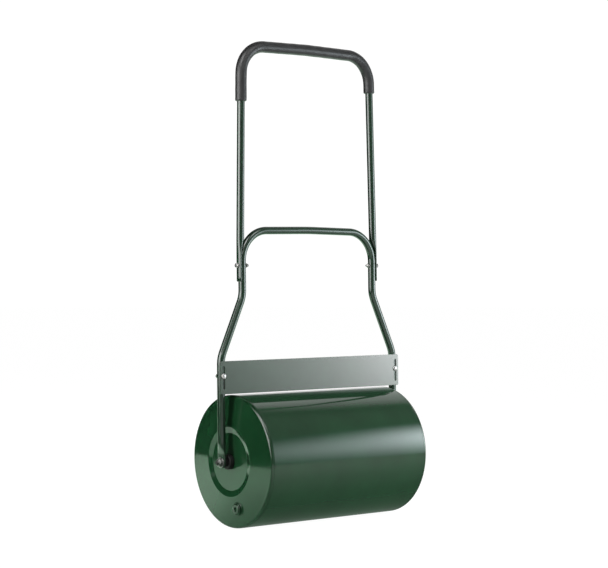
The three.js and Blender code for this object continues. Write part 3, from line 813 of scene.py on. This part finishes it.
def saddle_section(inner, outer, half_angle):
    """A C round the hoop tube, with round edges, whose points match a circle's one by one."""
    arc_end = radians(70)
    middle = (inner + outer) / 2
    thickness = (outer - inner) / 2
    points = []
    for a in angles(TUBE_SIDES):
        a = (a + pi) % (2 * pi) - pi
        side = copysign(1, a)
        reach = abs(a)
        if reach <= arc_end:
            angle = half_angle * reach / arc_end
            points.append((outer * cos(angle), side * outer * sin(angle)))
        elif reach < pi - arc_end:
            turn = pi * (reach - arc_end) / (pi - 2 * arc_end)
            radial = middle + thickness * cos(turn)
            along = thickness * sin(turn)
            points.append((
                radial * cos(half_angle) - along * sin(half_angle),
                side * (radial * sin(half_angle) + along * cos(half_angle)),
            ))
        else:
            angle = half_angle * (pi - reach) / arc_end
            points.append((inner * cos(angle), side * inner * sin(angle)))
    return points


def saddle_rings(side):
    """Outer and inner rings of one pressed handle end, from its foot up to the round tube."""
    tangent = Vector((0, -side))
    half_angle = SADDLE_HALF_ANGLE - SADDLE_EDGE_ANGLE
    wall = saddle_section(SADDLE_INNER_RADIUS, SADDLE_OUTER_RADIUS, half_angle)
    hollow = saddle_section(SADDLE_INNER_RADIUS + TUBE_WALL, SADDLE_OUTER_RADIUS - TUBE_WALL,
                            half_angle - SADDLE_WALL_ANGLE)

    def ring(height, pressed, radius):
        roundness = smooth((height - SADDLE_TOP) / (SADDLE_BLEND_TOP - SADDLE_TOP))
        shift = handle_x(height) - HOOP_X
        section = [
            (lerp(flat[0], full[0] + shift, roundness), lerp(flat[1], full[1], roundness))
            for flat, full in zip(pressed, round_section(radius))
        ]
        return placed((Vector((side * HOOP_X, height)), tangent), section)

    def foot(share):
        """A ring just below the first ones, part of the way from the outside to the inside."""
        drop = Vector((0, 0, SADDLE_FOOT_EDGE))
        return [tuple(Vector(a).lerp(Vector(b), share) - drop) for a, b in zip(outer[0], inner[0])]

    heights = [lerp(SADDLE_BOTTOM + SADDLE_FOOT_EDGE, SADDLE_TOP, k / 6) for k in range(6)]
    heights += [lerp(SADDLE_TOP, SADDLE_BLEND_TOP, k / 24) for k in range(24)]
    outer = [ring(height, wall, TUBE_RADIUS) for height in heights]
    inner = [ring(height, hollow, TUBE_RADIUS - TUBE_WALL) for height in heights]
    return [foot(0.8), foot(0.3), *outer], inner


def upper_handle():
    """The bent handle with a pressed saddle at each foot; hollow, with open ends."""
    path = bent_path(handle_corners(SADDLE_BLEND_TOP, SADDLE_BLEND_TOP))
    left_outer, left_inner = saddle_rings(-1)
    right_outer, right_inner = saddle_rings(1)
    outside = [*left_outer, *round_tube(path, TUBE_RADIUS), *reversed(right_outer)]
    inside = [*left_inner, *round_tube(path, TUBE_RADIUS - TUBE_WALL), *reversed(right_inner)]
    return Shape().skin([*outside, *reversed(inside)], closed=True)


def handle_grip():
    """The foam sleeve: slightly uneven, with soft ends that close on the tube."""
    path = bent_path(handle_corners(GRIP_LEFT_END, GRIP_RIGHT_END), spacing=4.0)
    lengths = [0.0]
    for (near, _), (far, _) in zip(path, path[1:]):
        lengths.append(lengths[-1] + (far - near).length)
    total = lengths[-1]
    bore = TUBE_RADIUS + 0.05

    def ring(station, radius, lumps=0.0):
        section = []
        for a in angles(TUBE_SIDES):
            along = Vector((station[0].x, station[0].y, 0))
            point = along * 0.05 + Vector((cos(a), sin(a), 2)) * 0.5
            r = radius + lumps * noise.noise(point)
            section.append((r * cos(a), r * sin(a)))
        return placed(station, section)

    rings = []
    for end, sign in ((0, 1), (-1, -1)):
        point, tangent = path[end]
        soft = []
        for turn in quarter(6):
            along = GRIP_EDGE * (1 - cos(turn)) * sign
            radius = GRIP_RADIUS - GRIP_EDGE * (1 - sin(turn))
            soft.append(ring((point + tangent * along, tangent), radius))
        soft.insert(0, ring((point, tangent), bore))
        rings.append(soft if end == 0 else soft[::-1])
    body = [ring(station, GRIP_RADIUS, GRIP_LUMPS) for station, length in zip(path, lengths)
            if GRIP_EDGE * 1.3 < length < total - GRIP_EDGE * 1.3]
    inside = round_tube(reversed(path[1:-1]), bore)
    return Shape().skin([*rings[0], *body, *rings[1], *inside], closed=True)


add_piece("upper_handle_bent_tube", upper_handle(), frame_paint, HANDLE_PLACE, "upper_handle",
          crease=50)
add_piece("handle_grip_foam", handle_grip(), grip_foam, HANDLE_PLACE, "handle_grip", crease=60)

# ---- axle, bolts and nuts


def mirrored(low, high):
    """A mirror image along X that swaps two ends."""
    return Matrix.Translation((low + high, 0, 0)) @ Matrix.Scale(-1, 4, (1, 0, 0))


def axle_shaft():
    """The axle: a plain bar with threaded ends."""
    thread_start = AXLE_END - AXLE_THREAD
    bar = rod(-thread_start, thread_start, AXLE_RADIUS - 0.1)
    threads = [threaded(thread_start - 1, AXLE_END, AXLE_RADIUS, AXLE_PITCH).shifted(turn)
               for _, turn in SIDES]
    return combined(bar, *threads)


def lock_nut(low, high, across_flats, bore):
    """A nut with a rolled collar over a nylon ring at its high end: the steel and the ring."""
    radius = across_flats / 2 * 0.86
    lip_radius = radius * 0.78
    step = high - 0.30 * (high - low)
    body = hex_body(low, step, across_flats, bore)
    lip = turned(rounded([
        (step - 0.3, radius), (high, radius, 0.8), (high, radius * 0.80, 0.4),
        (high - 0.5, lip_radius), (step - 0.3, lip_radius),
    ], closed=True))
    return combined(body, lip), collar(step - 0.2, high - 0.45, bore - 0.15, radius * 0.785, 0.3)


def handle_bolt():
    """Hexagon bolt along X, its head outside and its thread inwards."""
    low, high = HANDLE_BOLT
    neck = high - M6_HEAD_HEIGHT
    thread_end = neck - M6_SHANK
    head = hex_body(neck, high, M6_ACROSS_FLATS, 0, chamfer_low=False)
    shank = rod(thread_end - 1, neck + 0.3, M6_RADIUS - 0.05)
    thread = threaded(low, thread_end, M6_RADIUS, M6_PITCH)
    return combined(head, shank, thread.shifted(mirrored(low, thread_end)))


def coach_bolt():
    """Domed bolt along X, its head at +X."""
    face = -SCRAPER_FRONT + 0.3
    base = face + 0.8
    dome = [(base + (DOME_HEIGHT - 0.8) * sin(turn), DOME_RADIUS * cos(turn))
            for turn in quarter(16)]
    dome[-1] = (dome[-1][0], 0)
    head = turned([(face, 0), (face, DOME_RADIUS - 0.3), (face + 0.2, DOME_RADIUS), *dome],
                  closed=False)
    thread_end = -7
    shank = rod(thread_end - 1, face + 0.2, M6_RADIUS - 0.05)
    thread = threaded(-SCRAPER_BOLT_TAIL, thread_end, M6_RADIUS, M6_PITCH)
    return combined(head, shank, thread.shifted(mirrored(-SCRAPER_BOLT_TAIL, thread_end)))


def add_washer(joint, ends, bore, radius, edge, place):
    """Adds a punched washer."""
    add_piece(f"{joint}_washer_punched", collar(*ends, bore, radius, edge), dull_zinc, place,
              f"{joint}_washer")


def add_lock_nut(joint, ends, across_flats, bore, place, inwards=True):
    """Adds a lock nut and its nylon ring, which is on the nut's side away from the bolt's head."""
    nut, insert = lock_nut(*ends, across_flats, bore)
    if inwards:
        nut, insert = (shape.shifted(mirrored(*ends)) for shape in (nut, insert))
    add_piece(f"{joint}_lock_nut", nut, dull_zinc, place, f"{joint}_nut", crease=25)
    add_piece(f"{joint}_nut_insert", insert, nylon, place)


add_piece("axle_shaft_threaded", axle_shaft(), axle_steel, HANDLE_PLACE, "axle_shaft")

for side, turn in SIDES:
    at_axle = HANDLE_PLACE @ turn
    spacer = collar(*AXLE_SPACER, AXLE_RADIUS + 0.1, AXLE_SPACER_RADIUS, 0.8)
    add_piece(f"{side}_axle_spacer_turned", spacer, plastic, at_axle, f"{side}_axle_spacer")
    add_washer(f"{side}_axle", AXLE_WASHER, AXLE_RADIUS + 0.1, AXLE_WASHER_RADIUS, 0.5, at_axle)
    add_lock_nut(f"{side}_axle", AXLE_NUT, AXLE_NUT_ACROSS_FLATS, AXLE_RADIUS, at_axle,
                 inwards=False)

    at_bolt = HANDLE_PLACE @ Matrix.Translation((0, 0, HANDLE_BOLT_HEIGHT)) @ turn
    joint = f"{side}_handle"
    add_piece(f"{joint}_hex_bolt", handle_bolt(), zinc, at_bolt, f"{joint}_bolt", crease=25)
    add_washer(joint, HANDLE_WASHER, M6_RADIUS + 0.2, M6_WASHER_RADIUS, 0.4, at_bolt)
    add_lock_nut(joint, HANDLE_NUT, M6_ACROSS_FLATS, M6_RADIUS, at_bolt)

# ---- scraper


def arcs(centres, radius):
    """A loop of arcs round corner centres (x, z, start angle, sweep in degrees)."""
    points = []
    for x, z, start, sweep in centres:
        for k in range(13):
            a = radians(start + sweep * k / 12)
            points.append((x + radius * cos(a), z + radius * sin(a)))
    return points


def scraper_plate():
    """The flat plate with its two adjusting slots and softened edges."""
    edge = SCRAPER_EDGE
    back = SCRAPER_FRONT + SCRAPER_THICKNESS
    side = SCRAPER_HALF_LENGTH - SCRAPER_CORNER
    low, high = SCRAPER_BOTTOM + SCRAPER_CORNER, SCRAPER_TOP - SCRAPER_CORNER
    outline = [
        (side, low, -90, 90), (side, high, 0, 90), (-side, high, 90, 90), (-side, low, 180, 90),
    ]
    slots = [[
        (x, SLOT_TOP - SLOT_HALF_WIDTH, 0, 180), (x, SLOT_BOTTOM + SLOT_HALF_WIDTH, 180, 180),
    ] for x in (-LEG_X, LEG_X)]
    rims = [(edge * (1 - sin(turn)), SCRAPER_FRONT + edge * (1 - cos(turn)))
            for turn in quarter(4)]
    rims += [(edge * (1 - cos(turn)), back - edge * (1 - sin(turn)))
             for turn in quarter(4)]
    rims = [(edge + 0.4, SCRAPER_FRONT), *rims, (edge + 0.4, back)]

    shape = Shape()
    fronts = []
    backs = []
    edges = [(outline, SCRAPER_CORNER, 1), *((slot, SLOT_HALF_WIDTH, -1) for slot in slots)]
    for centres, radius, inwards in edges:
        rings = [[(x, y, z) for x, z in arcs(centres, radius - inwards * shrink)]
                 for shrink, y in rims]
        shape.skin(rings)
        fronts.append(rings[0])
        backs.append(rings[-1])
    return shape.fill(fronts).fill(backs)


add_piece("scraper_plate_cut", scraper_plate(), scraper_paint, HANDLE_PLACE, "scraper_plate",
          "scraper", 45)

TURN_TO_FRONT = Matrix.Rotation(-pi / 2, 4, "Z")
for side, x in (("left", -LEG_X), ("right", LEG_X)):
    at_bolt = HANDLE_PLACE @ Matrix.Translation((x, 0, SCRAPER_BOLT_HEIGHT)) @ TURN_TO_FRONT
    joint = f"{side}_scraper"
    add_piece(f"{joint}_coach_bolt", coach_bolt(), zinc, at_bolt, f"{joint}_bolt")
    add_washer(joint, SCRAPER_WASHER, M6_RADIUS + 0.2, M6_WASHER_RADIUS, 0.4, at_bolt)
    add_lock_nut(joint, SCRAPER_NUT, M6_ACROSS_FLATS, M6_RADIUS, at_bolt)

# ---- studio (metres)

scene.view_settings.view_transform = "Standard"


class Value:
    """A number that shader nodes work out, for use in sums."""

    def __init__(self, tree, socket):
        self.tree = tree
        self.socket = socket

    def math(self, operation, other=0.0, swapped=False):
        """A math node on this value and another, or a plain number."""
        node = self.tree.nodes.new("ShaderNodeMath")
        node.operation = operation
        for socket, number in zip(node.inputs, (other, self) if swapped else (self, other)):
            if isinstance(number, Value):
                self.tree.links.new(number.socket, socket)
            else:
                socket.default_value = number
        return Value(self.tree, node.outputs["Value"])

    def __add__(self, other):
        return self.math("ADD", other)

    def __sub__(self, other):
        return self.math("SUBTRACT", other)

    def __rsub__(self, other):
        return self.math("SUBTRACT", other, swapped=True)

    def __mul__(self, other):
        return self.math("MULTIPLY", other)

    def __truediv__(self, other):
        return self.math("DIVIDE", other)

    def bell(self):
        """1 where this value is 0, falling off smoothly as it grows."""
        return (self * -1.0).math("EXPONENT")

    def ramp(self, start, end, smooth=True):
        """0 to 1 as this value goes from start to end."""
        node = self.tree.nodes.new("ShaderNodeMapRange")
        node.interpolation_type = "SMOOTHSTEP" if smooth else "LINEAR"
        node.inputs["From Min"].default_value = start
        node.inputs["From Max"].default_value = end
        self.tree.links.new(self.socket, node.inputs["Value"])
        return Value(self.tree, node.outputs["Result"])


def axes_of(tree, coordinates):
    """The X, Y and Z values of a set of texture coordinates."""
    place = tree.nodes.new("ShaderNodeTexCoord").outputs[coordinates]
    split = tree.nodes.new("ShaderNodeSeparateXYZ")
    tree.links.new(place, split.inputs[0])
    return [Value(tree, split.outputs[axis]) for axis in "XYZ"]


def glow(name, strength=1.0, tint=(1, 1, 1)):
    """A light-giving material and its emission node."""
    material = bpy.data.materials.new(name)
    material.use_nodes = True
    nodes = material.node_tree.nodes
    nodes.clear()
    lamp = nodes.new("ShaderNodeEmission")
    lamp.inputs["Strength"].default_value = strength
    lamp.inputs["Color"].default_value = (*tint, 1)
    output = nodes.new("ShaderNodeOutputMaterial")
    material.node_tree.links.new(lamp.outputs["Emission"], output.inputs["Surface"])
    return material, lamp


def show_to(thing, *rays):
    """Makes a stage object that only these kinds of ray see, and that casts no shadow."""
    for kind in ("camera", "diffuse", "glossy", "transmission", "shadow"):
        setattr(thing, f"visible_{kind}", kind in rays)


def sheet(name, corners, material, *rays):
    """A flat sheet of the studio."""
    mesh = bpy.data.meshes.new(name)
    mesh.from_pydata(corners, [], [tuple(range(len(corners)))])
    mesh.materials.append(material)
    thing = bpy.data.objects.new(name, mesh)
    scene.collection.objects.link(thing)
    show_to(thing, *rays)
    return thing


def dome(name, radius, material, *rays):
    """A sphere round the studio."""
    bpy.ops.mesh.primitive_uv_sphere_add(segments=48, ring_count=24, radius=radius)
    thing = bpy.context.object
    thing.name = name
    thing.data.materials.append(material)
    show_to(thing, *rays)


def softbox(name, centre, aim, size, bells, rays=("glossy",), tint=(1, 1, 1)):
    """A soft light of half width and half height size, aimed at a point.

    It is the sum of bells (strength, half width, half height, side shift).
    """
    material, lamp = glow(name, tint=tint)
    tree = material.node_tree
    x, y, _ = axes_of(tree, "Object")
    total = None
    for strength, half_width, half_height, shift in bells:
        across = (x - shift) / half_width
        up = y / half_height
        light = (across * across + up * up).bell() * strength
        total = total + light if total else light
    tree.links.new(total.socket, lamp.inputs["Strength"])
    w, h = size
    card = sheet(name, [(-w, -h, 0), (w, -h, 0), (w, h, 0), (-w, h, 0)], material, *rays)
    card.location = centre
    card.rotation_mode = "QUATERNION"
    card.rotation_quaternion = (Vector(aim) - Vector(centre)).to_track_quat("Z", "Y")


# The front softbox lights everything. The others only show in gloss, the keys only light colour.
softbox("front_softbox", centre=(1.65, -1.63, 0.68), aim=(0, 0, 0.60), size=(1.3, 1.0),
        bells=[(4.2, 0.75, 0.62, -0.10), (11.0, 0.30, 0.52, -0.30)], rays=("glossy", "diffuse"),
        tint=(0.99, 1.09, 1.14))
softbox("left_softbox", centre=(-2.30, 0, 1.30), aim=(0, 0, 1.3), size=(1.25, 1.08),
        bells=[(9.5, 1.1, 1.1, 0)])
softbox("near_softbox", centre=(-1.90, -1.85, 2.05), aim=(0, -0.1, 1.0), size=(0.9, 0.6),
        bells=[(6.0, 0.8, 0.6, 0)])
softbox("top_softbox", centre=(-1.25, -0.60, 2.20), aim=(0, 0, 0.3), size=(1.0, 1.0),
        bells=[(14.0, 0.45, 0.45, 0)])
softbox("left_key", centre=(-2.30, 0.32, 0.55), aim=(-0.25, 0, 0.2), size=(0.4, 0.5),
        bells=[(32.0, 0.20, 0.40, 0)], rays=("diffuse",))
softbox("front_key", centre=(0.90, -1.80, 1.90), aim=(0, 0, 0.3), size=(0.8, 0.8),
        bells=[(6.0, 0.50, 0.50, 0)], rays=("diffuse",))
softbox("overhead_softbox", centre=(0.10, -1.25, 2.10), aim=(0.1, 0, 0.3), size=(0.45, 0.6),
        bells=[(7.0, 0.40, 0.40, 0)])
softbox("back_key", centre=(0.90, 2.50, 0.25), aim=(0, 0, 0.2), size=(0.8, 0.25),
        bells=[(12.0, 0.60, 0.30, 0)], rays=("diffuse",))

FILL_RADIUS = 25
FILL_LIGHT = 0.08
dome("fill_dome", FILL_RADIUS, glow("fill_glow", FILL_LIGHT)[0], "diffuse")

# Two floors light the roller, one for gloss and one for colour. They end to the left of the roller.
FLOOR_LEFT = -1.13
FLOOR_SLANT = 0.45
FLOOR_SLANT_START = -1.05
FLOOR_FAR = 6.0
FLOOR_DEPTH = -0.002
FLOOR_BOUNCE = 0.55
FLOOR_BRIGHTNESS = 2.0
DRUM_SHADE = 1.1
DRUM_SHADE_HALF_WIDTH = 0.21
# The mirrored floor's colours, from 1 m in front of the axle (0) to 2 m behind it (1). The dark
# ones just in front of and under the axle are a painted shadow of the roller.
FLOOR_SPAN = (-1, 2)
FLOOR_COLOURS = [
    (0.0, grey(0.50)), (0.16, grey(0.48)), (0.26, grey(0.16)), (0.33, (0.14, 0.15, 0.14)),
    (0.44, (0.74, 1.00, 0.79)), (0.85, (0.48, 0.66, 0.51)),
]
floor_glow, floor_lamp = glow("floor_glow")
floor_tree = floor_glow.node_tree
floor_x, floor_y, _ = axes_of(floor_tree, "Object")
floor_colour = floor_tree.nodes.new("ShaderNodeValToRGB")
ramp = floor_colour.color_ramp
ramp.interpolation = "B_SPLINE"
ramp.elements[-1].position = FLOOR_COLOURS[-1][0]
for position, _ in FLOOR_COLOURS[1:-1]:
    ramp.elements.new(position)
for element, (_, colour) in zip(ramp.elements, FLOOR_COLOURS):
    element.color = (*colour, 1)
floor_tree.links.new(floor_y.ramp(*FLOOR_SPAN, smooth=False).socket, floor_colour.inputs["Fac"])
floor_tree.links.new(floor_colour.outputs["Color"], floor_lamp.inputs["Color"])
# Painted shadow of the roller: the glossy floor's glow is dimmed close to the axle, under the drum.
from_axle = (floor_y / DRUM_SHADE_HALF_WIDTH).math("ABSOLUTE")
near_axle = from_axle.math("POWER", 4.0).bell()
under_drum = floor_x.math("GREATER_THAN", -SHELL_END * MM)
floor_light = FLOOR_BRIGHTNESS - near_axle * DRUM_SHADE * under_drum
floor_tree.links.new(floor_light.socket, floor_lamp.inputs["Strength"])
floor_corners = [
    (FLOOR_LEFT - FLOOR_SLANT * (FLOOR_FAR - FLOOR_SLANT_START), -FLOOR_FAR, FLOOR_DEPTH),
    (FLOOR_FAR, -FLOOR_FAR, FLOOR_DEPTH), (FLOOR_FAR, FLOOR_FAR, FLOOR_DEPTH),
    (FLOOR_LEFT + FLOOR_SLANT * (FLOOR_FAR + FLOOR_SLANT_START), FLOOR_FAR, FLOOR_DEPTH),
]
sheet("mirrored_floor", floor_corners, floor_glow, "glossy")
sheet("bouncing_floor", floor_corners, glow("floor_bounce", FLOOR_BOUNCE)[0], "diffuse")

# The floor and backdrop that the camera sees.
STUDIO_RADIUS = 30.0
BACKDROP_LIGHT = 1.05
pale_floor = Finish("pale_floor", Base_Color=(0.12, 0.12, 0.12, 1), Roughness=0.9,
                    Specular_IOR_Level=0.0, Emission_Color=(1, 1, 1, 1), Emission_Strength=0.985)
rim = [(STUDIO_RADIUS * cos(a), STUDIO_RADIUS * sin(a), -0.0005) for a in angles(48)]
sheet("floor", rim, pale_floor.material, "camera")
dome("backdrop", STUDIO_RADIUS, glow("backdrop_white", BACKDROP_LIGHT)[0], "camera")

# The room round the studio, as light and mirrors see it: a bright wall behind and to the right, a
# faint light in front and dim elsewhere, and dark at the back left.
WALL_LIGHT = 1.0
WALL_WAY = (0.84, 0.54)
WALL_TOP = (0.70, 0.85)
FRONT_LIGHT = 0.22
FRONT_WAY = (0.62, -0.78)
DIM_LIGHT = 0.17
DARK_WAY = (-0.75, 0.66)
DARKNESS = 0.9
world = bpy.data.worlds.new("room")
scene.world = world
world.use_nodes = True
world.cycles_visibility.camera = False
room = world.node_tree
way_x, way_y, way_z = axes_of(room, "Generated")


def facing(way, start, end):
    """0 to 1 as the horizontal direction turns towards a way (x, y), between two cosines."""
    x, y = way
    flat = (1.0 - way_z * way_z).math("MAXIMUM", 1e-4).math("POWER", 0.5)
    return ((way_x * x + way_y * y) / flat).ramp(start, end)


wall = facing(WALL_WAY, 0.81, 0.98) * (1.0 - way_z.ramp(*WALL_TOP)) * WALL_LIGHT
dim = (1.0 - facing(DARK_WAY, 0.5, 0.8) * DARKNESS) * DIM_LIGHT
front = facing(FRONT_WAY, 0.5, 0.9) * FRONT_LIGHT
background = room.nodes["Background"]
background.inputs["Color"].default_value = (1, 1, 1, 1)
room.links.new((wall + dim + front).socket, background.inputs["Strength"])

# ---- camera (metres)

CAMERA_PLACE = Vector((-2.6736, -3.3307, 0.6200))
CAMERA_AIM = Vector((-0.0141, 0.0096, 0.5850))
CAMERA_LENS = 101.74
camera = bpy.data.objects.new("camera", bpy.data.cameras.new("camera"))
scene.collection.objects.link(camera)
camera.data.lens = CAMERA_LENS
camera.data.sensor_width = 36
camera.data.clip_end = 100
camera.location = CAMERA_PLACE
camera.rotation_mode = "QUATERNION"
camera.rotation_quaternion = (CAMERA_AIM - CAMERA_PLACE).to_track_quat("-Z", "Y")
scene.camera = camera
